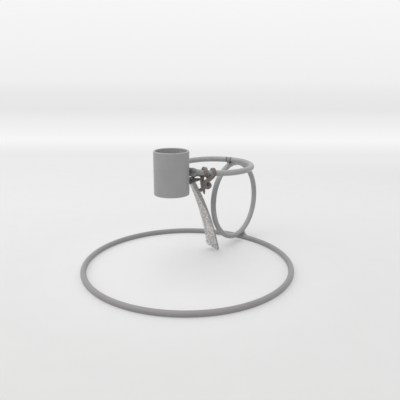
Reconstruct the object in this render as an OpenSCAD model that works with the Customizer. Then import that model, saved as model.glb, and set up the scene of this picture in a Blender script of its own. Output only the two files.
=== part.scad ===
/* [Wire] */
// Diameter of the painted rod that the three rings are bent from
wire_d = 4.2; // [3.4:0.1:5]
// Clear gap between two rods where a weld bead holds them
weld_gap = 0.1; // [0.05:0.05:0.3]

/* [Base ring] */
// Radius of the base ring, to the middle of its rod
base_r = 75; // [66:0.5:90]

/* [Upright ring] */
// Radius of the upright ring, to the middle of its rod
upright_r = 30.6; // [28:0.2:34]
// How far the middle of the upright ring stands inside the base ring's rod
upright_inset = 7.6; // [4:0.2:10]
// Sideways lean of the upright ring, in degrees
upright_lean = 3; // [0:0.5:5]
// Turn of the upright ring about the vertical, in degrees
upright_turn = -1.5; // [-3:0.5:3]

/* [Top ring] */
// Radius of the top ring, to the middle of its rod
top_r = 27.1; // [25:0.1:30]
// How far the back of the top ring lies in front of the upright ring's middle
top_back = 6.4; // [3:0.2:9]
// Sideways place of the top ring's middle
top_side = 0.7; // [-2:0.1:2]
// Bearing of the welded seam that closes the top ring, in degrees
seam_az = 99.4; // [98:0.2:104]
// Length of the seam along the rod
seam_len = 3.8; // [3:0.1:5]
// Width of the groove at each end of the seam
groove_w = 0.4; // [0.2:0.1:0.6]
// Depth of the groove at each end of the seam
groove_depth = 0.4; // [0.2:0.1:0.8]

/* [Candle cup] */
// Outer diameter of the cup
cup_d = 25; // [24:0.2:27]
// Wall of the cup
cup_wall = 1.2; // [0.8:0.1:1.8]
// Height of the cup
cup_h = 30.8; // [24:0.2:34]
// How far the middle of the cup is above the top ring's rod
cup_raise = 0.6; // [-2:0.2:2]
// Bearing of the cup from the top ring's middle, in degrees
cup_az = 257; // [252:1:262]
// Thickness of the disc that closes the cup
floor_t = 1.5; // [1:0.1:2.5]
// How far the disc sits above the cup's lower edge
floor_recess = 0.6; // [0.2:0.1:2]
// Width of the step that the disc is pushed up against
floor_step = 0.3; // [0.2:0.05:0.4]
// Clear gap around the disc
floor_fit = 0.05; // [0.02:0.01:0.1]
// Radius of the rounded rim
rim_r = 0.5; // [0.3:0.1:0.6]

/* [Welds] */
// Radius of the beads at the foot of the upright ring
foot_bead_r = 2; // [1.6:0.1:2.4]
// Radius of the bead under the back of the top ring
shoulder_bead_r = 2.3; // [2:0.1:2.6]
// Radius of the beads along the cup
cup_bead_r = 1.4; // [1:0.1:1.8]
// Length of the beads along the top ring, from the cup towards the lace
cup_bead_fore = 9.5; // [6:0.5:11]
// Length of the beads along the top ring, from the cup away from the lace
cup_bead_aft = 5; // [3:0.5:8]

/* [Lace] */
// Width of the flat leather lace
lace_w = 2.8; // [2.4:0.1:3]
// Thickness of the lace
lace_t = 1.4; // [1.2:0.1:1.6]
// How far the lace's long edges are rounded off
lace_edge = 0.4; // [0.2:0.05:0.5]
// Width of the lace's pointed end
lace_tip = 1.2; // [1:0.1:2]
// Share of its width that the lace gives up in the tag's hole
lace_squeeze = 0.2; // [0.15:0.01:0.3]
// Clear gap between the lace and what it is wound on
lace_gap = 0.3; // [0.25:0.05:0.5]
// Bearing of the tie from the top ring's middle, in degrees
tie_az = 295; // [290:1:300]
// Distance between the two turns of lace along the rod
tie_pitch = 5.4; // [5:0.1:6]

/* [Tag] */
// Width of the metal tag at its cut end
tag_w = 10.4; // [8:0.2:11]
// Width that the tag tapers to at its hole
tag_neck_w = 4.6; // [3:0.2:5]
// Diameter of the eye around the tag's hole
tag_eye_d = 5.4; // [5:0.1:6]
// Thickness of the tag
tag_t = 2; // [1.2:0.1:2.4]
// Length of the tag from its hole to its lowest corner
tag_len = 69.4; // [66:0.2:74]
// Radius that the tag is bent to along its length
tag_bend_r = 190; // [160:1:300]
// Diameter of the hole for the lace
tag_hole_d = 3; // [2.8:0.1:3.4]
// Slant of the tag's cut end, in degrees
tag_slant = 18; // [0:1:40]
// Sideways turn of the hanging tag, in degrees
tag_turn = 1.5; // [0:0.5:6]
// Distance from the tie back to the tag's hole, along the top ring's rod
hole_side = 14.8; // [14:0.1:15.4]
// Distance from the rod in to the tag's hole, towards the ring's middle
hole_in = 6.9; // [6.6:0.1:7.6]
// Height from the tag's hole up to the rod
hole_drop = 8.2; // [7.8:0.1:9]
// Clear height under the tag's lowest corner
tag_rest = 0.3; // [0.2:0.1:0.5]

/* [Hidden] */
$fn = 96;
wire_r = wire_d / 2;
touch = wire_d + weld_gap;
// The rings stand in each other's crook, so their middles are one radius and one touch apart
upright_y = base_r - upright_inset;
upright_up = sqrt(pow(upright_r + touch, 2) - pow(upright_inset, 2));
top_up = upright_up + sqrt(pow(upright_r + touch, 2) - pow(top_back, 2));
top_y = upright_y - top_back - top_r;
top_z = wire_r + top_up * cos(upright_lean);
seam_half = seam_len / 2 / top_r * 180 / PI;
groove_deg = groove_w / top_r * 180 / PI;
cup_r = cup_d / 2;
bore_r = cup_r - cup_wall;
cup_out = top_r + wire_r + weld_gap + cup_r;
cup_x = top_side + cup_out * cos(cup_az);
cup_y = top_y + cup_out * sin(cup_az);
cup_z = top_z + cup_raise - cup_h / 2;
lace_wind_r = wire_r + lace_gap + lace_t / 2;

// A point beside the top ring's rod: along it from the tie, out from its middle line, and up
function tie_at(p) = let (a = tie_az + p[0] / top_r * 180 / PI)
    [top_side + (top_r + p[1]) * cos(a), top_y + (top_r + p[1]) * sin(a), top_z + p[2]];
// The direction that a lace point's last three values give, in the same three senses
function tie_facing(p) = let (a = tie_az + p[0] / top_r * 180 / PI)
    p[3] * [-sin(a), cos(a), 0] + p[4] * [cos(a), sin(a), 0] + [0, 0, p[5]];

// The tag's hole lies off the tie's own straight directions
tie_dir = [-sin(tie_az), cos(tie_az), 0];
in_dir = [-cos(tie_az), -sin(tie_az), 0];
hole_at = tie_at([0, 0, 0]) - hole_side * tie_dir + hole_in * in_dir - [0, 0, hole_drop];
tag_angle = tag_len / tag_bend_r * 180 / PI;
// The tag leans as far as its length takes it before its corner comes down on the table
tag_lean = tag_angle / 2 + acos(min(1, (hole_at[2] - tag_rest) / (2 * tag_bend_r * sin(tag_angle / 2))));
tag_across = [cos(tag_turn), sin(tag_turn), 0];
tag_down = [-sin(tag_turn) * sin(tag_lean), cos(tag_turn) * sin(tag_lean), -cos(tag_lean)];
tag_face = [sin(tag_turn) * cos(tag_lean), -cos(tag_turn) * cos(tag_lean), -sin(tag_lean)];

// A point beside the tag's hole: across the tag, down it, and out from its front face
function tag_at(p) = hole_at + p[0] * tag_across + p[1] * tag_down + p[2] * tag_face;
function tag_facing(p) = p[3] * tag_across + p[4] * tag_down + p[5] * tag_face;

// Each row is a point of the lace's middle line and the direction that its flat side faces there.
// The lace from its pointed end up behind the rod
lace_up = [[-2.9, 2.0, -14.9, 0, -1, 0], [-3.3, 1.8, -12.3, 0, -1, 0], [-4.1, 1.4, -9.8, 0, -1, 0],
           [-4.7, 1.0, -7.3, 0, -1, -0.2], [-5.4, -0.5, -4.7, 0, -0.8, -0.6],
           [-5.8, -2.3, -2.5, 0, -1, -0.6], [-5.9, -3.3, 0, 0, -1, 0],
           [-5.2, -2.8, 1.9, 0, -0.8, 0.6], [-4.0, -1.6, 3.1, 0, -0.5, 0.9]];
// From the second turn down across the front, round the ball of the knot and away behind it
lace_knot = [[3.6, 3.2, -0.2, 0, 1, 0], [2.5, 3.4, -2.0, 0.2, 1, -0.3], [0.8, 3.7, -3.6, 0.2, 1, -0.2],
             [-1.0, 4.0, -4.9, 0, 1, 0], [-2.2, 3.9, -6.9, -0.5, 1, 0],
             [-1.9, 3.3, -9.0, -0.3, 1, -0.5], [-0.2, 2.6, -9.9, 0.3, 0.9, -1],
             [0.9, 1.8, -8.5, 1, 0.5, 0], [-0.2, 0.3, -7.1, 0.5, 0.1, 1],
             [-2.4, -1.3, -6.9, 0, -0.4, 1], [-4.7, -2.5, -6.6, 0, -0.6, 1],
             [-6.9, -3.2, -5.6, 0, -0.6, 1]];
// Across the tag's face, back through its hole and along behind it
lace_tag = [[6.4, -3.5, 0.6, 0, -1, 0.3], [3.2, -2.8, 2.0, 0, -0.5, 1], [0.8, -1.0, 2.4, 0, 0.3, 1],
            [0, 0, 0.6, -0.5, 1, 0], [0, 0, -2.4, -0.4, 1, 0], [0.6, -1.1, -4.2, 0, 0.5, -1],
            [3.0, -2.4, -5.0, 0, 0, -1], [6.2, -2.6, -5.0, 0, 0, -1]];
// Round behind the knot and down to the lace's other end
lace_end = [[-5.2, -6.0, -3.0, 0, -1, 0.5], [-2.7, -5.6, -4.3, 0.5, -1, 0.5],
            [-2.0, -5.1, -6.4, 1, -1, 0], [-2.0, -3.8, -8.4, 0.6, -1, 0],
            [-3.1, -2.1, -10.2, 0.2, -1, -0.2], [-5.2, -1.4, -12.0, 0, -1, 0],
            [-7.8, -1.2, -13.9, 0, -1, 0]];
wind_step = 30;
wind_start = -270;
wind_end = -690;
// The turns round the rod, a step at a time, coming down in front and rising at the back
lace_wind = [for (a = [wind_start : -wind_step : wind_end])
    [tie_pitch * (-270 - a) / 360 - tie_pitch / 2, lace_wind_r * cos(a), lace_wind_r * sin(a),
     0, cos(a), sin(a)]];
lace_by_rod = concat(lace_up, lace_wind, lace_knot);
lace_route = concat([for (p = lace_by_rod) tie_at(p)], [for (p = lace_tag) tag_at(p)],
                    [for (p = lace_end) tie_at(p)]);
lace_facing = concat([for (p = lace_by_rod) unit(tie_facing(p))],
                     [for (p = lace_tag) unit(tag_facing(p))],
                     [for (p = lace_end) unit(tie_facing(p))]);
lace_parts = 2;
tip_rings = 4;
squeeze_reach = 4;

// A smooth curve through four points in a row, between the middle two
function between(a, b, c, d, u) = 0.5 * (2 * b + (c - a) * u + (2 * a - 5 * b + 4 * c - d) * u * u
    + (3 * b - a - 3 * c + d) * u * u * u);
function smooth(route, parts) = let (last = len(route) - 1)
    [for (i = [0 : last - 1]) for (k = [0 : (i == last - 1 ? parts : parts - 1)])
        between(route[max(i - 1, 0)], route[i], route[i + 1], route[min(i + 2, last)], k / parts)];
// Directions between the given ones, in even steps
function blend(dirs, parts) = let (last = len(dirs) - 1)
    [for (i = [0 : last - 1]) for (k = [0 : (i == last - 1 ? parts : parts - 1)])
        dirs[i] * (1 - k / parts) + dirs[i + 1] * k / parts];
function unit(v) = v / norm(v);
function sum(v, i = 0) = i < len(v) ? v[i] + sum(v, i + 1) : 0;
function heading(line, i) = unit(line[min(i + 1, len(line) - 1)] - line[max(i - 1, 0)]);
function squared(s, h) = unit(s - (s * h) * h);

// The lace's width along its line: cut to a tip at its start and squeezed in the tag's hole
function lace_width(p, i) = (i < tip_rings ? lace_tip + (lace_w - lace_tip) * i / tip_rings : lace_w)
    * (1 - lace_squeeze * max(0, 1 - norm(p - hole_at) / squeeze_reach));
// A flat strip's outline with its edges taken off, across and through
function strip(w, t, edge) = let (a = w / 2, b = t / 2)
    [[a, edge - b], [a, b - edge], [a - edge, b], [edge - a, b],
     [-a, b - edge], [-a, edge - b], [edge - a, -b], [a - edge, -b]];
// The lace's surface points, an outline at a time
function lace_rings(line, facing) = [for (i = [0 : len(line) - 1])
    let (h = heading(line, i), out = squared(facing[i], h), side = cross(h, out))
        [for (q = strip(lace_width(line[i], i), lace_t, lace_edge)) line[i] + q[0] * side + q[1] * out]];
function least_gap(rings, skip) = min([for (i = [0 : len(rings) - 1 - skip])
    for (j = [i + skip : len(rings) - 1]) for (p = rings[i]) for (q = rings[j]) norm(p - q)]);

module tube(rings) {
    sides = len(rings[0]);
    last = len(rings) - 1;
    walls = [for (i = [0 : last - 1]) for (k = [0 : sides - 1])
        let (n = (k + 1) % sides, a = i * sides, b = a + sides)
            each [[a + k, a + n, b + n], [a + k, b + n, b + k]]];
    ends = [[for (k = [sides - 1 : -1 : 0]) k], [for (k = [0 : sides - 1]) last * sides + k]];
    polyhedron(points = [for (ring = rings) each ring], faces = concat(walls, ends), convexity = 10);
}

module hoop(r, d) {
    rotate_extrude() translate([r, 0]) circle(d = d);
}

module arc_rod(r, d, from, to, steps = 96) {
    rotate([0, 0, from]) rotate_extrude(angle = to - from, $fn = steps)
        translate([r, 0]) circle(d = d, $fn = 96);
}

// Places a shape on the plane of the upright ring, u along it and s up from the base ring's rod
module on_upright(u, s) {
    translate([0, upright_y, wire_r]) rotate([0, 0, upright_turn]) rotate([0, -upright_lean, 0])
        translate([0, u, s]) children();
}

// The stretches of the three rods that lie around a weld, finely stepped
module base_arc(middle, half) {
    translate([0, 0, wire_r]) arc_rod(base_r, wire_d, middle - half, middle + half, 720);
}

module upright_arc(middle, half) {
    on_upright(0, upright_up) rotate([0, 90, 0])
        arc_rod(upright_r, wire_d, middle - half, middle + half, 720);
}

module top_arc(middle, half) {
    translate([top_side, top_y, top_z]) arc_rod(top_r, wire_d, middle - half, middle + half, 720);
}

module base_ring() {
    color([0.56, 0.56, 0.56]) translate([0, 0, wire_r]) hoop(base_r, wire_d);
}

module upright_ring() {
    color([0.55, 0.55, 0.56]) on_upright(0, upright_up) rotate([0, 90, 0]) hoop(upright_r, wire_d);
}

module top_ring() {
    color([0.57, 0.57, 0.57]) translate([top_side, top_y, top_z])
        arc_rod(top_r, wire_d, seam_az + seam_half, seam_az - seam_half + 360);
}

module top_ring_seam() {
    color([0.5, 0.5, 0.51]) translate([top_side, top_y, top_z]) {
        arc_rod(top_r, wire_d - 2 * groove_depth, seam_az - seam_half, seam_az + seam_half);
        arc_rod(top_r, wire_d, seam_az - seam_half + groove_deg, seam_az + seam_half - groove_deg);
    }
}

module candle_cup() {
    seat_h = floor_recess + floor_t;
    color([0.56, 0.56, 0.57]) translate([cup_x, cup_y, cup_z]) rotate_extrude() {
        difference() {
            translate([bore_r, 0]) square([cup_wall, cup_h - rim_r]);
            translate([0, -1]) square([bore_r + floor_step, seat_h + 1]);
        }
        translate([bore_r + rim_r, cup_h - 2 * rim_r]) square([cup_wall - 2 * rim_r, 2 * rim_r]);
        translate([bore_r + rim_r, cup_h - rim_r]) circle(r = rim_r);
        translate([cup_r - rim_r, cup_h - rim_r]) circle(r = rim_r);
    }
}

module cup_floor() {
    echo(socket_at = [cup_x, cup_y, cup_z + (cup_h - rim_r + floor_recess + floor_t) / 2],
         socket_r = bore_r, socket_length = cup_h - rim_r - floor_recess - floor_t);
    color([0.5, 0.5, 0.51]) translate([cup_x, cup_y, cup_z + floor_recess])
        cylinder(r = bore_r + floor_step - floor_fit, h = floor_t);
}

// A bead in the crook between the upright ring's leg and the base ring
module foot_weld() {
    q = (wire_r + weld_gap / 2) / (upright_r + touch);
    color([0.53, 0.53, 0.54]) difference() {
        on_upright(upright_inset * (1 - q), upright_up * q) {
            translate([0, foot_bead_r * 0.5, 0]) sphere(r = foot_bead_r * 1.15);
            translate([foot_bead_r, foot_bead_r * 0.6, foot_bead_r * 0.2]) sphere(r = foot_bead_r);
            translate([foot_bead_r * 1.7, foot_bead_r * 0.1, -foot_bead_r * 0.2])
                sphere(r = foot_bead_r * 0.65);
            translate([-foot_bead_r * 0.9, foot_bead_r * 0.5, 0]) sphere(r = foot_bead_r * 0.85);
        }
        base_arc(90, 12);
        upright_arc(asin(upright_inset / (upright_r + touch)), 30);
    }
}

// A bead between the shoulder of the upright ring and the back of the top ring
module shoulder_weld() {
    k = (upright_r + wire_r + weld_gap / 2) / (upright_r + touch);
    color([0.5, 0.5, 0.51]) difference() {
        on_upright(-top_back * k, upright_up + (top_up - upright_up) * k) sphere(r = shoulder_bead_r);
        top_arc(90, 24);
        upright_arc(180 + asin(top_back / (upright_r + touch)), 20);
    }
}

// Beads above and below the rod, between the top ring and the cup's wall
module cup_weld() {
    from = cup_az - cup_bead_aft / top_r * 180 / PI;
    to = cup_az + cup_bead_fore / top_r * 180 / PI;
    color([0.52, 0.52, 0.53]) difference() {
        translate([top_side, top_y, top_z]) for (side = [-1, 1]) translate([0, 0, side * wire_r * 0.9])
            arc_rod(top_r + wire_r * 0.85, 2 * cup_bead_r, from, to, 720);
        top_arc((from + to) / 2, (to - from) / 2 + 6);
        translate([cup_x, cup_y, cup_z - 1]) cylinder(r = cup_r, h = cup_h + 2, $fn = 720);
    }
}

// The lace's gap to itself is measured between outlines that lie more than five apart
module lace() {
    line = smooth(lace_route, lace_parts);
    rings = lace_rings(line, blend(lace_facing, lace_parts));
    length = sum([for (i = [1 : len(line) - 1]) norm(line[i] - line[i - 1])]);
    echo(lace_outlines = len(rings), lace_gap_to_itself = least_gap(rings, 6), lace_length = length);
    color([0.42, 0.37, 0.34]) tube(rings);
}

// A bent strip that tapers up to an eye, with its hole, and cut on a slant below
module tag() {
    half = tag_w / 2;
    neck = tag_neck_w / 2;
    reach = tag_bend_r * sin(tag_angle);
    over = 3 * tag_t;
    echo(tag_lean = tag_lean, hole_at = hole_at, hinge_axis = tag_face);
    color([0.7, 0.69, 0.67]) translate(hole_at) rotate([0, 0, tag_turn]) rotate([tag_lean, 0, 0])
        difference() {
            intersection() {
                // The strip's own curve, about a level axis in front of it
                translate([0, -tag_bend_r, 0]) rotate([90, 0, 90]) rotate([0, 0, -tag_angle - 4])
                    rotate_extrude(angle = tag_angle + 8, $fn = 720)
                        translate([tag_bend_r, -tag_w]) square([tag_t, 2 * tag_w]);
                // Its outline, seen from the front
                union() {
                    rotate([90, 0, 0]) cylinder(d = tag_eye_d, h = 4 * tag_t, center = true);
                    rotate([90, 0, 0]) translate([0, 0, -2 * tag_t]) linear_extrude(height = tag_len)
                        polygon([[-neck, 0], [neck, 0], [half, -reach], [half, -reach - over],
                                 [-half, -reach - over], [-half, -reach]]);
                }
            }
            // The slanted cut, square to the strip where it ends
            translate([0, -tag_bend_r, 0]) rotate([-tag_angle, 0, 0]) translate([half, tag_bend_r, 0])
                rotate([0, tag_slant, 0]) translate([-2 * tag_w, -over, -4 * over])
                    cube([4 * tag_w, 3 * over, 4 * over]);
            rotate([90, 0, 0]) cylinder(d = tag_hole_d, h = 4 * tag_t, center = true);
        }
}

base_ring();
upright_ring();
top_ring();
top_ring_seam();
candle_cup();
cup_floor();
foot_weld();
shoulder_weld();
cup_weld();
lace();
tag();
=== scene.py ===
"""Looks of the wire candle holder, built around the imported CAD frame. Units are metres; helper points are written in mm."""
import math

import bpy
import numpy as np
from mathutils import Matrix, Vector


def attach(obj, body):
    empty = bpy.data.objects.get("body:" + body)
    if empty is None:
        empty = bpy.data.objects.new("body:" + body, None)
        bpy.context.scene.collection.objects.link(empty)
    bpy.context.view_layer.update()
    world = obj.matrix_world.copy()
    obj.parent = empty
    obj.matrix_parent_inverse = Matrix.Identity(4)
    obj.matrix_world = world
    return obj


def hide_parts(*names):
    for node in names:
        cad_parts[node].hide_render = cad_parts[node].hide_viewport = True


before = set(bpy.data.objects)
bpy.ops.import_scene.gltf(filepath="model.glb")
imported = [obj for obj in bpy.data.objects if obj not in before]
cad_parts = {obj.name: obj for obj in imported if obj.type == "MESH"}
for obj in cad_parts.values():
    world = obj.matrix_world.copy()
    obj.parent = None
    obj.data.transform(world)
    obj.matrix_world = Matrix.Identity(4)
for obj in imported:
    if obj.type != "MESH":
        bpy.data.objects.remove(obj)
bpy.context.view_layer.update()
scene = bpy.context.scene
scene.view_settings.view_transform = "Standard"
MM = 0.001


# ---------------------------------------------------------------- camera
def make_camera():
    yaw, pitch, roll = math.radians(54.432621 - 90), 0.26944186, -0.00254110
    heading = Vector((math.sin(yaw), math.cos(yaw), 0))
    right = Vector((math.cos(yaw), -math.sin(yaw), 0))
    ahead = heading * math.cos(pitch) - Vector((0, 0, math.sin(pitch)))
    up = right.cross(ahead)
    x = right * math.cos(roll) - up * math.sin(roll)
    y = right * math.sin(roll) + up * math.cos(roll)
    data = bpy.data.cameras.new("camera")
    data.sensor_width = 36
    data.lens = 43.516
    data.clip_start = 0.01
    data.clip_end = 20
    cam = bpy.data.objects.new("camera", data)
    scene.collection.objects.link(cam)
    m = Matrix((x, y, -ahead)).transposed().to_4x4()
    m.translation = Vector((0.199737, -0.264027, 0.142311))
    cam.matrix_world = m
    scene.camera = cam


make_camera()


# ---------------------------------------------------------------- the part's own sizes, as in its CAD source (mm)
WIRE_R = 2.1
TOUCH = 4.3
BASE_R = 75.0
UPRIGHT_R, UPRIGHT_INSET, UPRIGHT_LEAN, UPRIGHT_TURN = 30.6, 7.6, 3.0, -1.5
TOP_R, TOP_BACK, TOP_SIDE = 27.1, 6.4, 0.7
UPRIGHT_Y = BASE_R - UPRIGHT_INSET
UPRIGHT_UP = math.sqrt((UPRIGHT_R + TOUCH) ** 2 - UPRIGHT_INSET ** 2)
TOP_UP = UPRIGHT_UP + math.sqrt((UPRIGHT_R + TOUCH) ** 2 - TOP_BACK ** 2)
TOP_Y = UPRIGHT_Y - TOP_BACK - TOP_R
TOP_Z = WIRE_R + TOP_UP * math.cos(math.radians(UPRIGHT_LEAN))
TOP_AT = np.array([TOP_SIDE, TOP_Y, TOP_Z])
CUP_R, CUP_H, CUP_RAISE = 12.5, 30.8, 0.6
CUP_OUT = TOP_R + WIRE_R + 0.1 + CUP_R
CUP_AZ = math.radians(257)
CUP_AT = np.array([TOP_SIDE + CUP_OUT * math.cos(CUP_AZ), TOP_Y + CUP_OUT * math.sin(CUP_AZ), TOP_Z + CUP_RAISE - CUP_H / 2])
SEAM_AZ, SEAM_LEN = 99.4, 3.8
TIE_AZ, TIE_PITCH = math.radians(295), 5.4
LACE_W, LACE_T = 2.8, 1.4
WIND_R = WIRE_R + 0.3 + LACE_T / 2
TAG_LEN, TAG_BEND_R, TAG_TURN, TAG_T = 69.4, 190.0, math.radians(1.5), 2.0
TAG_ANGLE = TAG_LEN / TAG_BEND_R


def unit(v):
    return v / np.maximum(np.linalg.norm(v, axis=-1, keepdims=True), 1e-12)


def tie_axes(along):
    """The senses along the rod, out from it and up, at a length along it from the tie."""
    a = TIE_AZ + along / TOP_R
    return np.array([[-math.sin(a), math.cos(a), 0], [math.cos(a), math.sin(a), 0], [0, 0, 1]])


def tie_at(p):
    """A point beside the top ring's rod: along it from the tie, out from its middle line, and up."""
    return TOP_AT + tie_axes(p[0])[1] * (TOP_R + p[1]) + np.array([0, 0, p[2]])


def tie_facing(p):
    return unit(np.array(p[3:]) @ tie_axes(p[0]))


TIE_DIR = np.array([-math.sin(TIE_AZ), math.cos(TIE_AZ), 0])
IN_DIR = np.array([-math.cos(TIE_AZ), -math.sin(TIE_AZ), 0])
HOLE_AT = tie_at((0, 0, 0)) - 14.8 * TIE_DIR + 6.9 * IN_DIR - np.array([0, 0, 8.2])
TAG_LEAN = TAG_ANGLE / 2 + math.acos((HOLE_AT[2] - 0.3) / (2 * TAG_BEND_R * math.sin(TAG_ANGLE / 2)))
TAG_ACROSS = np.array([math.cos(TAG_TURN), math.sin(TAG_TURN), 0])
TAG_DOWN = np.array([-math.sin(TAG_TURN) * math.sin(TAG_LEAN), math.cos(TAG_TURN) * math.sin(TAG_LEAN), -math.cos(TAG_LEAN)])
TAG_FACE = np.array([math.sin(TAG_TURN) * math.cos(TAG_LEAN), -math.cos(TAG_TURN) * math.cos(TAG_LEAN), -math.sin(TAG_LEAN)])
TAG_AXES = np.array([TAG_ACROSS, TAG_DOWN, TAG_FACE])


def tag_at(p):
    return HOLE_AT + np.array(p[:3]) @ TAG_AXES


def tag_facing(p):
    return unit(np.array(p[3:]) @ TAG_AXES)


def upright_frame(u, s):
    """A point in the upright ring's plane, u along it and s up from the base ring's rod, and that plane's axes."""
    t, l = math.radians(UPRIGHT_TURN), math.radians(-UPRIGHT_LEAN)
    rz = np.array([[math.cos(t), -math.sin(t), 0], [math.sin(t), math.cos(t), 0], [0, 0, 1]])
    ry = np.array([[math.cos(l), 0, math.sin(l)], [0, 1, 0], [-math.sin(l), 0, math.cos(l)]])
    m = rz @ ry
    return np.array([0, UPRIGHT_Y, WIRE_R]) + m @ np.array([0, u, s]), m


# ---------------------------------------------------------------- mesh helpers
def new_piece(name, verts_mm, faces, smooth=True):
    mesh = bpy.data.meshes.new(name)
    mesh.from_pydata([tuple(v * MM) for v in np.asarray(verts_mm)], [], [tuple(int(i) for i in f) for f in faces])
    mesh.validate()
    mesh.update()
    if smooth:
        mesh.polygons.foreach_set("use_smooth", [True] * len(mesh.polygons))
    o = bpy.data.objects.new(name, mesh)
    scene.collection.objects.link(o)
    return o


# ---------------------------------------------------------------- the lace
# Each row is a point of its middle line and the direction that its flat side faces, as in the CAD source
LACE_UP = [(-2.9, 2.0, -14.9, 0, -1, 0), (-3.3, 1.8, -12.3, 0, -1, 0), (-4.1, 1.4, -9.8, 0, -1, 0),
           (-4.7, 1.0, -7.3, 0, -1, -0.2), (-5.4, -0.5, -4.7, 0, -0.8, -0.6), (-5.8, -2.3, -2.5, 0, -1, -0.6),
           (-5.9, -3.3, 0, 0, -1, 0), (-5.2, -2.8, 1.9, 0, -0.8, 0.6), (-4.0, -1.6, 3.1, 0, -0.5, 0.9)]
LACE_KNOT = [(3.6, 3.2, -0.2, 0, 1, 0), (2.5, 3.4, -2.0, 0.2, 1, -0.3), (0.8, 3.7, -3.6, 0.2, 1, -0.2),
             (-1.0, 4.0, -4.9, 0, 1, 0), (-2.2, 3.9, -6.9, -0.5, 1, 0), (-1.9, 3.3, -9.0, -0.3, 1, -0.5),
             (-0.2, 2.6, -9.9, 0.3, 0.9, -1), (0.9, 1.8, -8.5, 1, 0.5, 0), (-0.2, 0.3, -7.1, 0.5, 0.1, 1),
             (-2.4, -1.3, -6.9, 0, -0.4, 1), (-4.7, -2.5, -6.6, 0, -0.6, 1), (-6.9, -3.2, -5.6, 0, -0.6, 1)]
LACE_TAG = [(6.4, -3.5, 0.6, 0, -1, 0.3), (3.2, -2.8, 2.0, 0, -0.5, 1), (0.8, -1.0, 2.4, 0, 0.3, 1),
            (0, 0, 0.6, -0.5, 1, 0), (0, 0, -2.4, -0.4, 1, 0), (0.6, -1.1, -4.2, 0, 0.5, -1),
            (3.0, -2.4, -5.0, 0, 0, -1), (6.2, -2.6, -5.0, 0, 0, -1)]
LACE_END = [(-5.2, -6.0, -3.0, 0, -1, 0.5), (-2.7, -5.6, -4.3, 0.5, -1, 0.5), (-2.0, -5.1, -6.4, 1, -1, 0),
            (-2.0, -3.8, -8.4, 0.6, -1, 0), (-3.1, -2.1, -10.2, 0.2, -1, -0.2), (-5.2, -1.4, -12.0, 0, -1, 0),
            (-7.8, -1.2, -13.9, 0, -1, 0)]
LACE_WIND = [(TIE_PITCH * (-270 - a) / 360 - TIE_PITCH / 2, WIND_R * math.cos(math.radians(a)), WIND_R * math.sin(math.radians(a)),
              0, math.cos(math.radians(a)), math.sin(math.radians(a))) for a in range(-270, -691, -30)]
BY_ROD = LACE_UP + LACE_WIND + LACE_KNOT
LACE_ROUTE = [tie_at(p) for p in BY_ROD] + [tag_at(p) for p in LACE_TAG] + [tie_at(p) for p in LACE_END]
LACE_FACING = [tie_facing(p) for p in BY_ROD] + [tag_facing(p) for p in LACE_TAG] + [tie_facing(p) for p in LACE_END]


def smooth_line(route, parts):
    """The same smooth curve through the points as the CAD lace has, cut finer."""
    r = [np.asarray(p, float) for p in route]
    last = len(r) - 1
    out = []
    for i in range(last):
        a, b, c, d = r[max(i - 1, 0)], r[i], r[i + 1], r[min(i + 2, last)]
        for k in range(parts + (1 if i == last - 1 else 0)):
            u = k / parts
            out.append(0.5 * (2 * b + (c - a) * u + (2 * a - 5 * b + 4 * c - d) * u * u + (3 * b - a - 3 * c + d) * u ** 3))
    return np.array(out)


def blur(a, times):
    for _ in range(times):
        b = a.copy()
        b[1:-1] = (a[:-2] + 2 * a[1:-1] + a[2:]) / 4
        a = b
    return a


def even_line(line, step):
    seg = np.linalg.norm(np.diff(line, axis=0), axis=1)
    s = np.r_[0, np.cumsum(seg)]
    n = int(round(s[-1] / step))
    t = np.linspace(0, s[-1], n + 1)
    return np.c_[[np.interp(t, s, line[:, k]) for k in range(3)]].T, t, s


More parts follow.
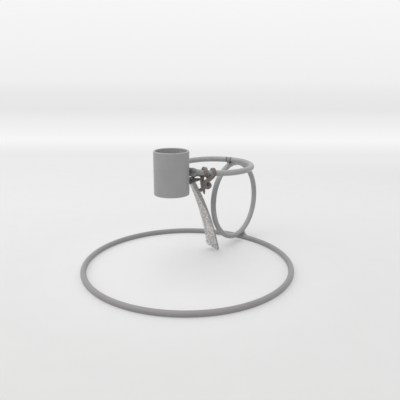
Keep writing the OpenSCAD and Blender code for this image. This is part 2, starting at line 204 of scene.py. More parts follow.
def make_lace():
    parts = 10
    dense = smooth_line(LACE_ROUTE, parts)
    facing = np.array(LACE_FACING)
    fine = np.array([facing[min(j // parts, len(facing) - 1)] * (1 - (j % parts) / parts)
                     + facing[min(j // parts + 1, len(facing) - 1)] * ((j % parts) / parts) for j in range(len(dense))])
    line, t, s = even_line(dense, 0.24)
    want = unit(np.c_[[np.interp(t, s, fine[:, k]) for k in range(3)]].T)
    tangent = unit(np.gradient(line, axis=0))
    # Turned to the line, and smoothed so that the lace twists gently
    face = unit(want - np.sum(want * tangent, axis=1, keepdims=True) * tangent)
    for _ in range(5):
        face = blur(face, 4)
        face = unit(face - np.sum(face * tangent, axis=1, keepdims=True) * tangent)
    side = unit(np.cross(tangent, face))
    # Squeezed in the tag's hole, and cut to a point at one end and on a slant at the other
    to_hole = np.linalg.norm(line - HOLE_AT, axis=1)
    pinch = 1 - 0.2 * np.clip(1 - to_hole / 4, 0, 1)
    total = t[-1]
    rows = []
    m = 20
    rng = np.random.default_rng(7)
    wob = [rng.uniform(0, 6.283, 8) for _ in range(4)]
    for i, d in enumerate(t):
        w = LACE_W / 2 * pinch[i] * (1 + 0.03 * math.sin(d * 0.9 + wob[0][0]) + 0.02 * math.sin(d * 2.3 + wob[0][1]) + 0.012 * math.sin(d * 5.1 + wob[0][2]))
        h = LACE_T / 2 * pinch[i] * (1 + 0.04 * math.sin(d * 1.3 + wob[1][0]) + 0.02 * math.sin(d * 3.7 + wob[1][1]))
        start, end = d, total - d
        w *= min(1.0, 0.32 + 0.68 * (start / 4.6)) if start < 4.6 else 1.0
        h *= min(1.0, 0.55 + 0.45 * (start / 2.4)) if start < 2.4 else 1.0
        h *= min(1.0, 0.75 + 0.25 * (end / 1.2)) if end < 1.2 else 1.0
        ring = []
        for k in range(m):
            a = 2 * math.pi * k / m
            c, sn = math.cos(a), math.sin(a)
            # A rounded rectangle
            x = math.copysign(abs(c) ** 0.36, c) * w
            y = math.copysign(abs(sn) ** 0.42, sn) * h
            rough = 1 + 0.012 * math.sin(7 * d + 3 * a + wob[2][k % 8]) + 0.010 * math.sin(13 * d - 2 * a + wob[3][k % 8])
            x, y = x * rough, y * rough
            slide = 0.0
            if end < 1.6:
                slide = -(1 - end / 1.6) * 0.9 * (x / w * 0.5 + 0.5)
            ring.append(line[i] + side[i] * x + face[i] * y + tangent[i] * slide)
        rows.append(ring)
    verts = [v for ring in rows for v in ring]
    faces = []
    for i in range(len(rows) - 1):
        for k in range(m):
            n = (k + 1) % m
            faces.append((i * m + k, i * m + n, (i + 1) * m + n, (i + 1) * m + k))
    # Slightly domed ends
    for ring_i, sign in ((0, -1), (len(rows) - 1, 1)):
        base = ring_i * m
        inner = len(verts)
        centre = line[ring_i] + sign * tangent[ring_i] * 0.16
        for k in range(m):
            verts.append(verts[base + k] * 0.55 + centre * 0.45)
        verts.append(centre)
        for k in range(m):
            n = (k + 1) % m
            quad = (base + k, base + n, inner + n, inner + k)
            tri = (inner + k, inner + n, inner + m)
            faces.append(quad if sign > 0 else quad[::-1])
            faces.append(tri if sign > 0 else tri[::-1])
    o = new_piece("leather_lace", np.array(verts), faces)
    bm_fix_normals(o)
    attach(o, "lace")
    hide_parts("lace")
    path = (line[::4] * MM).tolist()
    if (len(line) - 1) % 4:
        path.append((line[-1] * MM).tolist())
    return o


def bm_fix_normals(o):
    import bmesh
    bm = bmesh.new()
    bm.from_mesh(o.data)
    bmesh.ops.recalc_face_normals(bm, faces=bm.faces)
    bm.to_mesh(o.data)
    bm.free()


lace = make_lace()


# ---------------------------------------------------------------- the welds, as smooth beads that flow into the rods
def rod_distance(p, centre, axes, r):
    """Distance from points to a ring's rod: centre, the ring plane's two axes and normal as rows, and its radius."""
    q = (p - centre) @ axes.T
    flat = np.hypot(q[:, 0], q[:, 1])
    return np.hypot(flat - r, q[:, 2]) - WIRE_R


def smin(a, b, k):
    h = np.clip(0.5 + 0.5 * (b - a) / k, 0, 1)
    return b * (1 - h) + a * h - k * h * (1 - h)


LEVEL = np.eye(3)
UP_C, UP_M = upright_frame(0, UPRIGHT_UP)
UP_AXES = np.array([UP_M[:, 1], UP_M[:, 2], UP_M[:, 0]])


def base_rod(p):
    return rod_distance(p, np.array([0, 0, WIRE_R]), LEVEL, BASE_R)


def upright_rod(p):
    return rod_distance(p, UP_C, UP_AXES, UPRIGHT_R)


def top_rod(p):
    return rod_distance(p, TOP_AT, LEVEL, TOP_R)


def cup_wall(p):
    return np.hypot(p[:, 0] - CUP_AT[0], p[:, 1] - CUP_AT[1]) - CUP_R


def ball(p, c, r):
    return np.linalg.norm(p - c, axis=1) - r


def sphere_grid(n, m):
    """Unit directions on n rings of m points, with a pole at each end, and their faces."""
    dirs = [(0, 0, 1)]
    for i in range(1, n):
        a = math.pi * i / n
        for k in range(m):
            b = 2 * math.pi * k / m
            dirs.append((math.sin(a) * math.cos(b), math.sin(a) * math.sin(b), math.cos(a)))
    dirs.append((0, 0, -1))
    faces = []
    for k in range(m):
        faces.append((0, 1 + k, 1 + (k + 1) % m))
    for i in range(n - 2):
        for k in range(m):
            a, b = 1 + i * m + k, 1 + i * m + (k + 1) % m
            faces.append((a, a + m, b + m, b))
    end = len(dirs) - 1
    for k in range(m):
        a, b = 1 + (n - 2) * m + k, 1 + (n - 2) * m + (k + 1) % m
        faces.append((a, end, b))
    return np.array(dirs, float), faces


def star_surface(name, centre, solid, reach, n=120, m=180, pole=(0, 0, 1)):
    """A closed skin round centre, where solid(points) turns from inside to outside along each ray."""
    dirs, faces = sphere_grid(n, m)
    z = unit(np.asarray(pole, float))
    x = unit(np.cross([0.31, 0.87, 0.11], z))
    y = np.cross(z, x)
    dirs = dirs @ np.array([x, y, z])
    steps = np.linspace(0.02, reach, 160)
    r = np.full(len(dirs), steps[0])
    inside = np.ones(len(dirs), bool)
    for s in steps:
        out = solid(centre + dirs * s) > 0
        r[inside & ~out] = s
        inside &= ~out
    lo, hi = r.copy(), np.minimum(r + (steps[1] - steps[0]), reach)
    for _ in range(14):
        mid = (lo + hi) / 2
        out = solid(centre + dirs * mid[:, None]) > 0
        hi = np.where(out, mid, hi)
        lo = np.where(out, lo, mid)
    o = new_piece(name, centre + dirs * lo[:, None], faces)
    bm_fix_normals(o)
    return o


def foot_bead():
    q = (WIRE_R + 0.05) / (UPRIGHT_R + TOUCH)
    at, m = upright_frame(UPRIGHT_INSET * (1 - q), UPRIGHT_UP * q)
    # The web's outer run, from the upright ring's rod down to the base ring's: across its plane, out and up, and radius
    web = [(np.array([0.2, 4.9, 2.3]), 0.85), (np.array([1.0, 3.7, 0.9]), 0.95), (np.array([2.5, 2.7, -0.3]), 0.95),
           (np.array([5.0, 1.6, -0.9]), 0.70)]

    def solid(p):
        q = (p - at) @ m
        far = np.linalg.norm(p - at, axis=1)
        # The rods run together behind, and leave a crevice on the near side
        run = 0.5 + 1.6 * np.clip((1.2 - q[:, 0]) / 1.6, 0, 1)
        d = smin(base_rod(p), upright_rod(p), run) + 0.05 + 0.5 * np.clip((far - 4.4) / 3.0, 0, 1) ** 1.5
        d = smin(d, ball(p, at + m @ np.array([-0.4, 1.6, 0.5]), 1.8), 1.2)
        for (c0, r0), (c1, r1) in zip(web, web[1:]):
            t = np.clip((q - c0) @ (c1 - c0) / np.sum((c1 - c0) ** 2), 0, 1)
            d = smin(d, np.linalg.norm(q - c0 - t[:, None] * (c1 - c0), axis=1) - r0 - t * (r1 - r0), 0.9)
        ripple = 0.04 * np.sin(q[:, 0] * 4.6) + 0.03 * np.sin(q[:, 2] * 5.3 + 1)
        near = np.clip(1 - (far - 2.5) / 2.5, 0, 1)
        return np.maximum(d + ripple * near, far - 6.8)
    o = star_surface("foot_weld_bead", at + m @ np.array([1.3, 2.6, 0.4]), solid, 9.0)
    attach(o, "frame")
    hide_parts("foot_weld")
    return o


def shoulder_bead():
    k = (UPRIGHT_R + WIRE_R + 0.05) / (UPRIGHT_R + TOUCH)
    at, m = upright_frame(-TOP_BACK * k, UPRIGHT_UP + (TOP_UP - UPRIGHT_UP) * k)

    def solid(p):
        far = np.linalg.norm(p - at, axis=1)
        rods = smin(top_rod(p), upright_rod(p), 0.8) + 0.05 + 0.5 * np.clip((far - 3.0) / 2.6, 0, 1) ** 1.5
        d = smin(rods, ball(p, at, 2.15), 0.6)
        ripple = 0.05 * np.sin(((p - at) @ m[:, 1]) * 5.0) + 0.04 * np.sin(((p - at) @ m[:, 0]) * 5.6 + 0.6)
        near = np.clip(1 - (far - 2.0) / 2.0, 0, 1)
        return np.maximum(d + ripple * near, far - 5.6)
    o = star_surface("shoulder_weld_bead", at, solid, 6.2)
    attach(o, "frame")
    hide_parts("shoulder_weld")
    return o


foot = foot_bead()
shoulder = shoulder_bead()


def cup_beads():
    """The run of weld on each side of the rod, swept along it between the rod and the cup's wall."""
    a0, a1 = CUP_AZ - 5.0 / TOP_R, CUP_AZ + 9.5 / TOP_R
    verts, faces = [], []
    n, m = 150, 36
    for side in (-1, 1):
        base = len(verts)
        for i in range(n + 1):
            u = i / n
            a = a0 + (a1 - a0) * u
            s = (a - CUP_AZ) * TOP_R
            out = np.array([math.cos(a), math.sin(a), 0])
            end = math.sqrt(max(0.0, 1 - abs(2 * u - 1) ** 5))
            wave = 1 + 0.05 * math.sin(s * 4.4 + side) + 0.03 * math.sin(s * 9.7)
            slight = 0.72 + 0.28 * min(max((s - 4.5) / 2.5, 0), 1) if side > 0 else 1.0
            r = 1.38 * (0.30 + 0.70 * end) * wave * slight
            sink = 1 - 0.62 * (1 - end) ** 1.2
            c = TOP_AT + out * (TOP_R + WIRE_R * 0.85 * sink) + np.array([0, 0, side * WIRE_R * 0.9 * sink])
            for k in range(m):
                b = 2 * math.pi * k / m
                lean = 0.10 * math.cos(b) * math.sin(s * 4.4)
                verts.append(c + (out * math.cos(b) + np.array([0, 0, 1]) * math.sin(b)) * r + np.array([-math.sin(a), math.cos(a), 0]) * lean)
        for i in range(n):
            for k in range(m):
                q = (k + 1) % m
                faces.append((base + i * m + k, base + i * m + q, base + (i + 1) * m + q, base + (i + 1) * m + k))
        faces.append(tuple(base + k for k in range(m))[::-1])
        faces.append(tuple(base + n * m + k for k in range(m)))
    o = new_piece("cup_weld_beads", np.array(verts), faces)
    bm_fix_normals(o)
    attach(o, "frame")
    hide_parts("cup_weld")
    return o


cup_bead = cup_beads()


# ---------------------------------------------------------------- the tag, rounded and hammered
def value_noise(points, size, seed):
    """Smooth noise from -1 to 1 at points in mm, with lumps of the given size."""
    q = points / size
    i = np.floor(q).astype(int)
    f = q - i
    f = f * f * (3 - 2 * f)

    def h(a, b, c):
        v = (a * 73856093) ^ (b * 19349663) ^ (c * 83492791) ^ (seed * 2654435761)
        v = (v ^ (v >> 13)) * 1274126177 & 0x7FFFFFFF
        return (v / 0x7FFFFFFF) * 2 - 1
    total = np.zeros(len(points))
    for a in (0, 1):
        for b in (0, 1):
            for c in (0, 1):
                w = (f[:, 0] if a else 1 - f[:, 0]) * (f[:, 1] if b else 1 - f[:, 1]) * (f[:, 2] if c else 1 - f[:, 2])
                total += w * h(i[:, 0] + a, i[:, 1] + b, i[:, 2] + c)
    return total


def dents(q, size, depth, seed):
    """Shallow round hammer marks over a plane, as a depth at each (x, y) in mm."""
    out = np.zeros(len(q))
    cell = np.floor(q / size).astype(int)
    for a in (-1, 0, 1):
        for b in (-1, 0, 1):
            c = cell + np.array([a, b])
            h1 = ((c[:, 0] * 374761393 + c[:, 1] * 668265263 + seed * 982451653) & 0x7FFFFFFF)
            h1 = ((h1 ^ (h1 >> 13)) * 1274126177) & 0x7FFFFFFF
            h2 = ((h1 ^ (h1 >> 11)) * 2246822519) & 0x7FFFFFFF
            h3 = ((h2 ^ (h2 >> 9)) * 3266489917) & 0x7FFFFFFF
            x = (c[:, 0] + 0.15 + 0.7 * (h1 / 0x7FFFFFFF)) * size
            y = (c[:, 1] + 0.15 + 0.7 * (h2 / 0x7FFFFFFF)) * size
            r = size * (0.45 + 0.35 * (h3 / 0x7FFFFFFF))
            d = np.hypot(q[:, 0] - x, q[:, 1] - y) / r
            out = np.minimum(out, -depth * (0.5 + 0.5 * (h3 / 0x7FFFFFFF)) * np.clip(1 - d * d, 0, 1))
    return out


def make_tag():
    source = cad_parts["tag"]
    mesh = source.data.copy()
    mesh.name = "hammered_tag"
    mesh.materials.clear()
    o = bpy.data.objects.new("hammered_tag", mesh)
    scene.collection.objects.link(o)
    mesh.transform(Matrix.Scale(1000, 4))
    m = o.modifiers.new("r", "REMESH")
    m.mode = "VOXEL"
    m.voxel_size = 0.17
    m.use_smooth_shade = True
    s = o.modifiers.new("s", "SMOOTH")
    s.factor = 0.5
    s.iterations = 5
    dg = bpy.context.evaluated_depsgraph_get()
    done = bpy.data.meshes.new_from_object(o.evaluated_get(dg))
    o.modifiers.clear()
    o.data = done
    done.name = "hammered_tag"
    n = len(done.vertices)
    co = np.zeros(n * 3)
    done.vertices.foreach_get("co", co)
    co = co.reshape(-1, 3)
    no = np.zeros(n * 3)
    done.vertex_normals.foreach_get("vector", no) if hasattr(done, "vertex_normals") else done.vertices.foreach_get("normal", no)
    no = no.reshape(-1, 3)
    q = co - HOLE_AT
    across, down, out = q @ TAG_ACROSS, q @ TAG_DOWN, q @ TAG_FACE
    angle = np.arctan2(down, TAG_BEND_R - out)
    along = angle * TAG_BEND_R
    plane = np.c_[across, along]
    facing = no @ TAG_FACE
    front = np.clip((np.abs(facing) - 0.6) / 0.35, 0, 1)
    seed = np.where(facing > 0, 1, 0)
    mark = np.where(seed == 1, dents(plane, 1.9, 0.16, 3) + dents(plane + 0.7, 1.1, 0.07, 5), dents(plane + 5.3, 2.3, 0.12, 11))
    rough = 0.045 * value_noise(co, 0.9, 2) + 0.03 * value_noise(co, 0.45, 4)
    edge = 0.05 * value_noise(co, 1.6, 8) * (1 - front)
    keep = np.clip((np.hypot(across, along) - 1.6) / 1.0, 0, 1)
    move = (mark * front + rough * (0.5 + 0.5 * front) + edge) * keep - 0.02
    co = co + no * move[:, None]
    done.vertices.foreach_set("co", co.ravel())
    done.transform(Matrix.Scale(0.001, 4))
    done.update()
    done.polygons.foreach_set("use_smooth", [True] * len(done.polygons))
    # How deep each point lies in the hammering, for the patina in the hollows
    depth = done.attributes.new("hollow", "FLOAT", "POINT")
    depth.data.foreach_set("value", np.clip(-(mark * front + rough) * 5, -1, 1).astype(np.float32))
    # Painted shade on the sides, which runs on over the face as a band beside the upper right edge
    edge_band_shade_from = np.interp(along, [8, 13, 21, 29, 37, 70], [-0.2, 0.1, 1.3, 2.6, 3.1, 6.0])
    edge_band_shade = np.clip((across - edge_band_shade_from) / 0.7 + 0.3 * value_noise(co, 1.3, 6), 0, 1) * 0.85
    side_shade = done.attributes.new("side", "FLOAT", "POINT")
    side_shade.data.foreach_set("value", np.maximum(np.clip((0.86 - np.abs(facing)) / 0.22, 0, 1), edge_band_shade).astype(np.float32))
    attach(o, "tag")
    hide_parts("tag")
    return o


tag = make_tag()


# ---------------------------------------------------------------- materials
class Graph:
    """A short way to write a node material."""

    def __init__(self, name):
        self.mat = bpy.data.materials.new(name)
        self.mat.use_nodes = True
        self.t = self.mat.node_tree
        self.bsdf = self.t.nodes["Principled BSDF"]
        self.coord = self.t.nodes.new("ShaderNodeTexCoord").outputs["Object"]

    def add(self, kind, inputs=(), **props):
        n = self.t.nodes.new(kind)
        for k, v in props.items():
            setattr(n, k, v)
        for k, v in dict(inputs).items():
            if isinstance(v, bpy.types.NodeSocket):
                self.t.links.new(v, n.inputs[k])
            else:
                n.inputs[k].default_value = v
        return n

    def noise(self, scale, detail=3.0, rough=0.5, vector=None, distortion=0.0):
        return self.add("ShaderNodeTexNoise", {"Vector": vector or self.coord, "Scale": scale, "Detail": detail,
                                               "Roughness": rough, "Distortion": distortion}).outputs["Fac"]

    def voronoi(self, scale, feature="F1", out="Distance", vector=None):
        n = self.add("ShaderNodeTexVoronoi", {"Vector": vector or self.coord, "Scale": scale}, feature=feature)
        return n.outputs[out]

    def math(self, op, a, b=None, c=None):
        n = self.add("ShaderNodeMath", operation=op)
        for i, v in enumerate((a, b, c)):
            if v is None:
                continue
            if isinstance(v, bpy.types.NodeSocket):
                self.t.links.new(v, n.inputs[i])
            else:
                n.inputs[i].default_value = v
        return n.outputs[0]

    def span(self, value, lo, hi, to_lo=0.0, to_hi=1.0, smooth=True):
        n = self.add("ShaderNodeMapRange", {"Value": value, "From Min": lo, "From Max": hi, "To Min": to_lo, "To Max": to_hi})
        n.interpolation_type = "SMOOTHSTEP" if smooth else "LINEAR"
        return n.outputs["Result"]

    def mix(self, fac, a, b, blend="MIX"):
        n = self.add("ShaderNodeMix", data_type="RGBA", blend_type=blend)
        for i, v in ((0, fac), (6, a), (7, b)):
            if isinstance(v, bpy.types.NodeSocket):
                self.t.links.new(v, n.inputs[i])
            else:
                n.inputs[i].default_value = v
        return n.outputs[2]

    def bump(self, height, strength, distance, normal=None):
        ins = {"Height": height, "Strength": strength, "Distance": distance}
        if normal is not None:
            ins["Normal"] = normal
        return self.add("ShaderNodeBump", ins).outputs["Normal"]

    def into(self, name, v):
        if isinstance(v, bpy.types.NodeSocket):
            self.t.links.new(v, self.bsdf.inputs[name])
        else:
            self.bsdf.inputs[name].default_value = v


def grey(v, warm=0.0):
    return (v * (1 + warm), v, v * (1 - warm), 1)


def from_seam(g):
    """Distance along the top ring from the middle of its seam, in radians."""
    sep = g.add("ShaderNodeSeparateXYZ", {"Vector": g.coord})
    x = g.math("SUBTRACT", sep.outputs["X"], TOP_SIDE * MM)
    y = g.math("SUBTRACT", sep.outputs["Y"], TOP_Y * MM)
    return g.math("ABSOLUTE", g.math("SUBTRACT", g.math("ARCTAN2", y, x), math.radians(SEAM_AZ)))


def from_point(g, at_mm):
    at = tuple(float(v) * MM for v in at_mm)
    return g.add("ShaderNodeVectorMath", {0: g.coord, 1: at}, operation="DISTANCE").outputs["Value"]


# Where the painted shade beside the knot is centred, on the upright ring's rod
KNOT_SHADE_AT = upright_frame(-28.6, 45.5)[0]
# Where the painted shadow in the crevice under the top ring, by the seam, is centred
CREVICE_SHADE_AZ = math.radians(SEAM_AZ - 3.6)
CREVICE_SHADE_AT = TOP_AT + np.array([math.cos(CREVICE_SHADE_AZ), math.sin(CREVICE_SHADE_AZ), 0]) * (TOP_R - 1.3) - np.array([0, 0, 1.5])


def coat_material(name, tone, rough, weld=False, seam=False, warm=0.0):
    """Satin grey coat on steel: slightly uneven tone, orange-peel texture, fine dust, a few rubbed spots, and painted
    shade beside the knot, in the seam's grooves and in the crevice by the seam.
    """
    g = Graph(name)
    cloud = g.noise(90, 3, 0.55)
    mottle = g.noise(900, 4, 0.6)
    peel = g.noise(2600, 2, 0.5)
    fine = g.noise(9000, 2, 0.5)
    base = g.mix(g.span(cloud, 0.3, 0.7), grey(tone * 0.965, warm), grey(tone * 1.035, warm + 0.004))
    base = g.mix(g.span(mottle, 0.42, 0.72, 0.0, 0.35), base, grey(tone * 0.90, -0.006))
    rub = g.math("MULTIPLY", g.span(g.noise(520, 5, 0.62, distortion=0.6), 0.66, 0.74), g.span(g.noise(160, 2), 0.52, 0.64))
    base = g.mix(g.math("MULTIPLY", rub, 0.30), base, grey(tone * 1.35))
    speck = g.span(g.voronoi(1500), 0.04, 0.10, 1.0, 0.0)
    speck = g.math("MULTIPLY", speck, g.span(g.noise(420, 2), 0.60, 0.70))
    base = g.mix(g.math("MULTIPLY", speck, 0.35), base, grey(tone * 0.55))
    if seam:
        # Painted shade in the grooves just beyond each end of the seam
        seam_groove_shade = g.span(from_seam(g), (SEAM_LEN / 2 + 0.20) / TOP_R, (SEAM_LEN / 2 + 0.80) / TOP_R, 1.0, 0.0)
        base = g.mix(g.math("MULTIPLY", seam_groove_shade, g.span(mottle, 0.2, 0.6, 0.65, 0.95)), base, grey(0.045))
    # Painted shade on the upright ring's rod beside the knot
    knot_shade = g.span(from_point(g, KNOT_SHADE_AT), 0.006, 0.017, 0.34, 0.0)
    base = g.mix(knot_shade, base, grey(tone * 0.35))
    # Painted shadow in the crevice under the top ring, where the upright ring meets it beside the seam
    crevice_shade = g.span(from_point(g, CREVICE_SHADE_AT), 0.0009, 0.0017, 1.0, 0.0)
    base = g.mix(g.math("MULTIPLY", crevice_shade, 0.9), base, grey(0.035))
    g.into("Base Color", base)
    g.into("Roughness", g.math("ADD", g.span(mottle, 0.3, 0.7, rough - 0.05, rough + 0.07), g.math("MULTIPLY", rub, -0.08)))
    g.into("Metallic", 0.0)
    g.into("IOR", 1.46)
    g.into("Coat Weight", 0.30)
    g.into("Coat Roughness", 0.24)
    n = g.bump(peel, 0.22 if not weld else 0.35, 0.00008)
    n = g.bump(fine, 0.12, 0.00003, n)
    if weld:
        n = g.bump(g.noise(1500, 4, 0.6), 0.4, 0.00014, n)
    g.into("Normal", n)
    return g.mat


def cup_material():
    """The cup's coat, with the faint level bands that its rolled wall leaves, painted light on the inside and a painted
    highlight along the lip.
    """
    tone = 0.315
    g = Graph("cup_coat")
    sep = g.add("ShaderNodeSeparateXYZ", {"Vector": g.coord})
    cloud = g.noise(70, 3, 0.5)
    mottle = g.noise(800, 4, 0.6)
    stretch = g.add("ShaderNodeMapping", {"Vector": g.coord, "Scale": (1.0, 1.0, 0.12)}).outputs["Vector"]
    streak = g.noise(900, 3, 0.6, vector=stretch)
    base = g.mix(g.span(cloud, 0.3, 0.7), grey(tone * 0.97), grey(tone * 1.03))
    base = g.mix(g.span(mottle, 0.45, 0.75, 0.0, 0.25), base, grey(tone * 0.92))
    base = g.mix(g.span(streak, 0.50, 0.80, 0.0, 0.22), base, grey(tone * 1.10))
    axis = g.add("ShaderNodeVectorMath", {0: g.coord, 1: (CUP_AT[0] * MM, CUP_AT[1] * MM, 0)}, operation="SUBTRACT").outputs["Vector"]
    flat = g.add("ShaderNodeVectorMath", {0: axis, 1: (1, 1, 0)}, operation="MULTIPLY").outputs["Vector"]
    bore = g.add("ShaderNodeVectorMath", {0: flat}, operation="LENGTH").outputs["Value"]
    # Painted light: the inside of the cup is made a little lighter
    base = g.mix(g.span(bore, 0.0115, 0.0119, 0.10, 0.0), base, grey(1.0))
    # Painted highlight along the top of the lip
    lip = g.span(sep.outputs["Z"], (CUP_AT[2] + CUP_H - 0.55) * MM, (CUP_AT[2] + CUP_H - 0.10) * MM)
    lip_highlight = g.math("MULTIPLY", lip, g.span(g.noise(700, 4), 0.35, 0.6, 0.35, 1.0))
    base = g.mix(g.math("MULTIPLY", lip_highlight, 0.55), base, grey(tone * 1.5))
    g.into("Base Color", base)
    g.into("Roughness", g.span(mottle, 0.3, 0.7, 0.40, 0.52))
    g.into("IOR", 1.46)
    g.into("Coat Weight", 0.12)
    g.into("Coat Roughness", 0.30)
    n = g.bump(g.noise(2600, 2), 0.20, 0.00008)
    n = g.bump(streak, 0.10, 0.00008, n)
    n = g.bump(g.noise(9000, 2), 0.12, 0.00003, n)
    g.into("Normal", n)
    return g.mat


def seam_material():
    """The dressed butt weld: the coat, with painted shade in the groove at each end."""
    tone = 0.295
    g = Graph("seam_coat")
    off = from_seam(g)
    half = SEAM_LEN / 2 / TOP_R
    # Painted shade in the groove at each end
    groove = g.span(off, half - 0.95 / TOP_R, half - 0.50 / TOP_R)
    base = g.mix(g.span(g.noise(900, 4), 0.35, 0.7), grey(tone * 0.92), grey(tone * 1.05))
    base = g.mix(g.math("MULTIPLY", groove, 0.95), base, grey(0.035))
    g.into("Base Color", base)
    g.into("Roughness", g.span(g.noise(1500, 3), 0.3, 0.7, 0.42, 0.6))
    g.into("IOR", 1.46)
    n = g.bump(g.noise(1900, 4, 0.6), 0.35, 0.0001)
    g.into("Normal", n)
    return g.mat


def suede_material():
    """Brown-grey suede: short nap that lies in patches, pale fibres and a few dark patches."""
    g = Graph("suede")
    nap = g.noise(3800, 4, 0.65)
    patch = g.noise(520, 3, 0.55)
    fibre_v = g.add("ShaderNodeMapping", {"Vector": g.coord, "Rotation": (0.4, 0.7, 0.2), "Scale": (1, 1, 0.25)}).outputs["Vector"]
    fibre = g.noise(7000, 3, 0.6, vector=fibre_v)
    base = g.mix(g.span(patch, 0.32, 0.68), (0.118, 0.096, 0.086, 1), (0.195, 0.172, 0.160, 1))
    base = g.mix(g.span(nap, 0.42, 0.66, 0.0, 0.6), base, (0.255, 0.232, 0.220, 1))
    base = g.mix(g.span(fibre, 0.56, 0.74, 0.0, 0.55), base, (0.35, 0.33, 0.32, 1))
    base = g.mix(g.span(nap, 0.30, 0.42, 0.75, 0.0), base, (0.050, 0.036, 0.030, 1))
    g.into("Base Color", base)
    g.into("Roughness", 0.92)
    g.into("Specular IOR Level", 0.22)
    g.into("Sheen Weight", 0.45)
    g.into("Sheen Roughness", 0.45)
    g.into("Sheen Tint", (0.85, 0.80, 0.77, 1))
    n = g.bump(patch, 0.35, 0.0003)
    n = g.bump(nap, 0.75, 0.00022, n)
    n = g.bump(fibre, 0.5, 0.00008, n)
    g.into("Normal", n)
    return g.mat


def tag_material():
    """Dull silver metal: bright high spots from the hammer, grey tarnish in the hollows, fine scratches, and painted
    shade on the sides and beside the upper right edge.
    """
    g = Graph("hammered_metal")
    hollow = g.add("ShaderNodeAttribute", attribute_name="hollow").outputs["Fac"]
    side = g.add("ShaderNodeAttribute", attribute_name="side").outputs["Fac"]
    grain = g.noise(2600, 4, 0.6)
    fleck = g.noise(1900, 3, 0.65, distortion=0.3)
    scratch_v = g.add("ShaderNodeMapping", {"Vector": g.coord, "Rotation": (0.64, 0.1, 0.4), "Scale": (1, 0.06, 0.06)}).outputs["Vector"]
    scratch = g.noise(5200, 3, 0.6, vector=scratch_v)
    deep = g.span(g.math("ADD", hollow, g.math("MULTIPLY", g.math("SUBTRACT", grain, 0.5), 1.1)), 0.05, 0.85)
    base = g.mix(deep, (0.80, 0.79, 0.78, 1), (0.50, 0.495, 0.49, 1))
    base = g.mix(g.span(fleck, 0.50, 0.64, 0.0, 0.62), base, (0.27, 0.265, 0.26, 1))
    base = g.mix(g.span(scratch, 0.60, 0.74, 0.0, 0.45), base, (0.90, 0.89, 0.88, 1))
    # Darker towards the top of the tag
    height = g.add("ShaderNodeSeparateXYZ", {"Vector": g.coord}).outputs["Z"]
    base = g.mix(g.span(height, 0.004, 0.062, 0.0, 0.42), base, (0.40, 0.39, 0.38, 1))
    # Painted shade on the sides and on the band beside the upper right edge
    dark = g.math("MULTIPLY", side, g.span(fleck, 0.38, 0.60, 1.0, 0.30))
    base = g.mix(dark, base, (0.135, 0.133, 0.13, 1))
    g.into("Base Color", base)
    g.into("Metallic", g.span(side, 0.0, 1.0, 0.82, 0.35))
    rough = g.math("ADD", g.span(deep, 0, 1, 0.42, 0.62), g.span(scratch, 0.6, 0.74, 0.0, -0.06))
    g.into("Roughness", g.math("ADD", rough, g.math("MULTIPLY", side, 0.12)))
    n = g.bump(grain, 0.30, 0.00010)
    n = g.bump(fleck, 0.30, 0.00012, n)
    n = g.bump(scratch, 0.2, 0.00004, n)
    g.into("Normal", n)
    return g.mat


def dress(node, material):
    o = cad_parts[node]
    if not o.data.materials:
        o.data.materials.append(material)
    for i in range(len(o.material_slots)):
        o.material_slots[i].link = "OBJECT"
        o.material_slots[i].material = material


# One grey paint on every part, in copies of different tone: the darker ones on the base ring, the welds and the cup's
# floor are painted shade
wire_coat = coat_material("wire_coat", 0.305, 0.46)
weld_coat = coat_material("weld_coat", 0.270, 0.52, weld=True)
floor_coat = coat_material("cup_floor_coat", 0.26, 0.52)
dress("base_ring", coat_material("base_ring_coat", 0.243, 0.46, warm=0.02))
dress("upright_ring", wire_coat)
dress("top_ring", coat_material("top_ring_coat", 0.312, 0.46, seam=True))
dress("top_ring_seam", seam_material())
dress("candle_cup", cup_material())
dress("cup_floor", floor_coat)
lace.data.materials.append(suede_material())
tag.data.materials.append(tag_material())
for o in (foot, shoulder, cup_bead):
    o.data.materials.append(weld_coat)


# ---------------------------------------------------------------- floor, backdrop and light
BACKDROP = [(0.40, 0.84), (0.47, 0.83), (0.63, 0.93), (0.87, 0.87), (1.33, 0.795), (2.3, 0.82), (4.2, 0.86), (5.4, 0.87)]


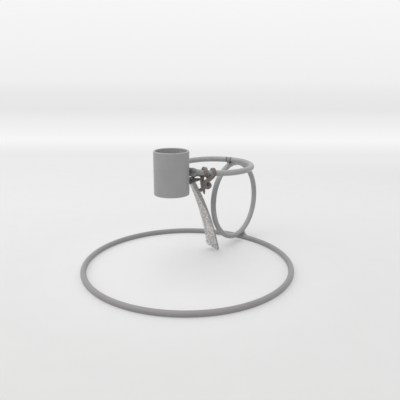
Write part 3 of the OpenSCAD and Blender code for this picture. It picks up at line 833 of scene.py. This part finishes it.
def make_stage():
    """A pale level floor, whose far part has the photograph's soft level bands, and a soft plain light."""
    m = 96
    radii = [0.0001, 0.1, 0.2, 0.3, 0.45, 0.7, 1.1, 1.8, 3.0, 5.0]
    verts = [(r * math.cos(2 * math.pi * k / m) * 1000, r * math.sin(2 * math.pi * k / m) * 1000, 0) for r in radii for k in range(m)]
    faces = [(i * m + k, (i + 1) * m + k, (i + 1) * m + (k + 1) % m, i * m + (k + 1) % m) for i in range(len(radii) - 1) for k in range(m)]
    o = new_piece("stage_floor", np.array(verts), faces)
    g = Graph("stage_paper")
    grain = g.noise(60, 3)
    ahead = g.add("ShaderNodeVectorMath", {0: g.coord, 1: (-0.5816, 0.8135, 0)}, operation="DOT_PRODUCT").outputs["Value"]
    # Painted shade: the floor's colour is a little darker towards the viewer
    paper = g.mix(g.span(ahead, -0.20, 0.16, smooth=False), (0.626, 0.628, 0.616, 1), (0.690, 0.690, 0.686, 1))
    paper = g.mix(g.span(grain, 0.3, 0.7), paper, (1.01, 1.01, 1.01, 1), blend="MULTIPLY")
    radius = g.add("ShaderNodeVectorMath", {0: g.coord}, operation="LENGTH").outputs["Value"]
    # Painted light: the floor's colour is lighter round the object, which thins its shadow there
    g.into("Base Color", g.mix(g.span(radius, 0.05, 0.13, 0.12, 0.0), paper, (1, 1, 1, 1)))
    g.into("Roughness", 0.9)
    g.into("Specular IOR Level", 0.15)
    # Away from the object, camera and mirror rays see the floor's painted tone, in straight bands across the view
    start, stop = BACKDROP[0][0], BACKDROP[-1][0]
    tone = g.add("ShaderNodeValToRGB", {"Fac": g.span(ahead, start, stop, smooth=False)})
    ramp = tone.color_ramp
    while len(ramp.elements) < len(BACKDROP):
        ramp.elements.new(0.5)
    for e, (at, v) in zip(ramp.elements, BACKDROP):
        e.position = (at - start) / (stop - start)
        e.color = (v * 0.997, v * 0.998, v * 1.006, 1)
    glow = g.add("ShaderNodeEmission", {"Color": tone.outputs["Color"], "Strength": 1.0})
    lp = g.add("ShaderNodeLightPath")
    seen = g.math("MAXIMUM", g.math("MAXIMUM", lp.outputs["Is Camera Ray"], lp.outputs["Is Glossy Ray"]), lp.outputs["Is Transmission Ray"])
    # Painted light: camera and mirror rays also see the painted tone in a band along the base ring's line of contact,
    # which thins its contact shadow
    touch = g.math("ABSOLUTE", g.math("SUBTRACT", radius, BASE_R * MM))
    far = g.math("MAXIMUM", g.span(ahead, 0.30, 0.46), g.span(radius, 0.55, 1.0))
    far = g.math("MAXIMUM", far, g.span(touch, 0.0012, 0.0055, 0.55, 0.0))
    mixer = g.add("ShaderNodeMixShader", {0: g.math("MULTIPLY", seen, far), 1: g.bsdf.outputs[0], 2: glow.outputs[0]})
    g.t.links.new(mixer.outputs[0], g.t.nodes["Material Output"].inputs["Surface"])
    o.data.materials.append(g.mat)
    world = bpy.data.worlds.new("world")
    scene.world = world
    world.use_nodes = True
    w = world.node_tree
    bg = w.nodes["Background"]
    bg.inputs["Color"].default_value = (0.99, 0.99, 1.0, 1)
    direction = w.nodes.new("ShaderNodeTexCoord").outputs["Generated"]
    up = w.nodes.new("ShaderNodeSeparateXYZ")
    w.links.new(direction, up.inputs[0])

    def spread(lo, hi, to_lo, to_hi):
        n = w.nodes.new("ShaderNodeMapRange")
        for name, v in (("From Min", lo), ("From Max", hi), ("To Min", to_lo), ("To Max", to_hi)):
            n.inputs[name].default_value = v
        w.links.new(up.outputs["Z"], n.inputs["Value"])
        return n.outputs["Result"]

    def sum_of(a, b, op="ADD"):
        n = w.nodes.new("ShaderNodeMath")
        n.operation = op
        w.links.new(a, n.inputs[0])
        w.links.new(b, n.inputs[1])
        return n.outputs[0]
    # The light is stronger from above and from the viewer's left
    side = w.nodes.new("ShaderNodeVectorMath")
    side.operation = "DOT_PRODUCT"
    side.inputs[1].default_value = (-0.8135 * 0.16, -0.5816 * 0.16, 0)
    w.links.new(direction, side.inputs[0])
    w.links.new(sum_of(spread(0.0, 0.8, 0.55, 1.12), side.outputs["Value"]), bg.inputs["Strength"])
    # What the camera and mirror rays see above the floor's far edge
    sky = w.nodes.new("ShaderNodeBackground")
    w.links.new(spread(-0.02, 0.14, 0.87, 0.935), sky.inputs["Strength"])
    sky.inputs["Color"].default_value = (0.997, 0.998, 1.006, 1)
    path = w.nodes.new("ShaderNodeLightPath").outputs
    seen = sum_of(sum_of(path["Is Camera Ray"], path["Is Glossy Ray"], "MAXIMUM"), path["Is Transmission Ray"], "MAXIMUM")
    both = w.nodes.new("ShaderNodeMixShader")
    w.links.new(seen, both.inputs[0])
    w.links.new(bg.outputs[0], both.inputs[1])
    w.links.new(sky.outputs[0], both.inputs[2])
    w.links.new(both.outputs[0], w.nodes["World Output"].inputs["Surface"])

    def lamp(name, at, aim, size, watts, colour):
        data = bpy.data.lights.new(name, "AREA")
        data.shape = "RECTANGLE"
        data.size, data.size_y = size
        data.energy = watts
        data.color = colour
        lo = bpy.data.objects.new(name, data)
        lo.location = at
        lo.rotation_euler = (Vector(aim) - Vector(at)).to_track_quat("-Z", "Y").to_euler()
        scene.collection.objects.link(lo)
    lamp("soft_top", (-0.25, -0.15, 0.95), (0, 0.02, 0.03), (1.0, 1.0), 3.05, (1.0, 0.995, 0.985))


make_stage()
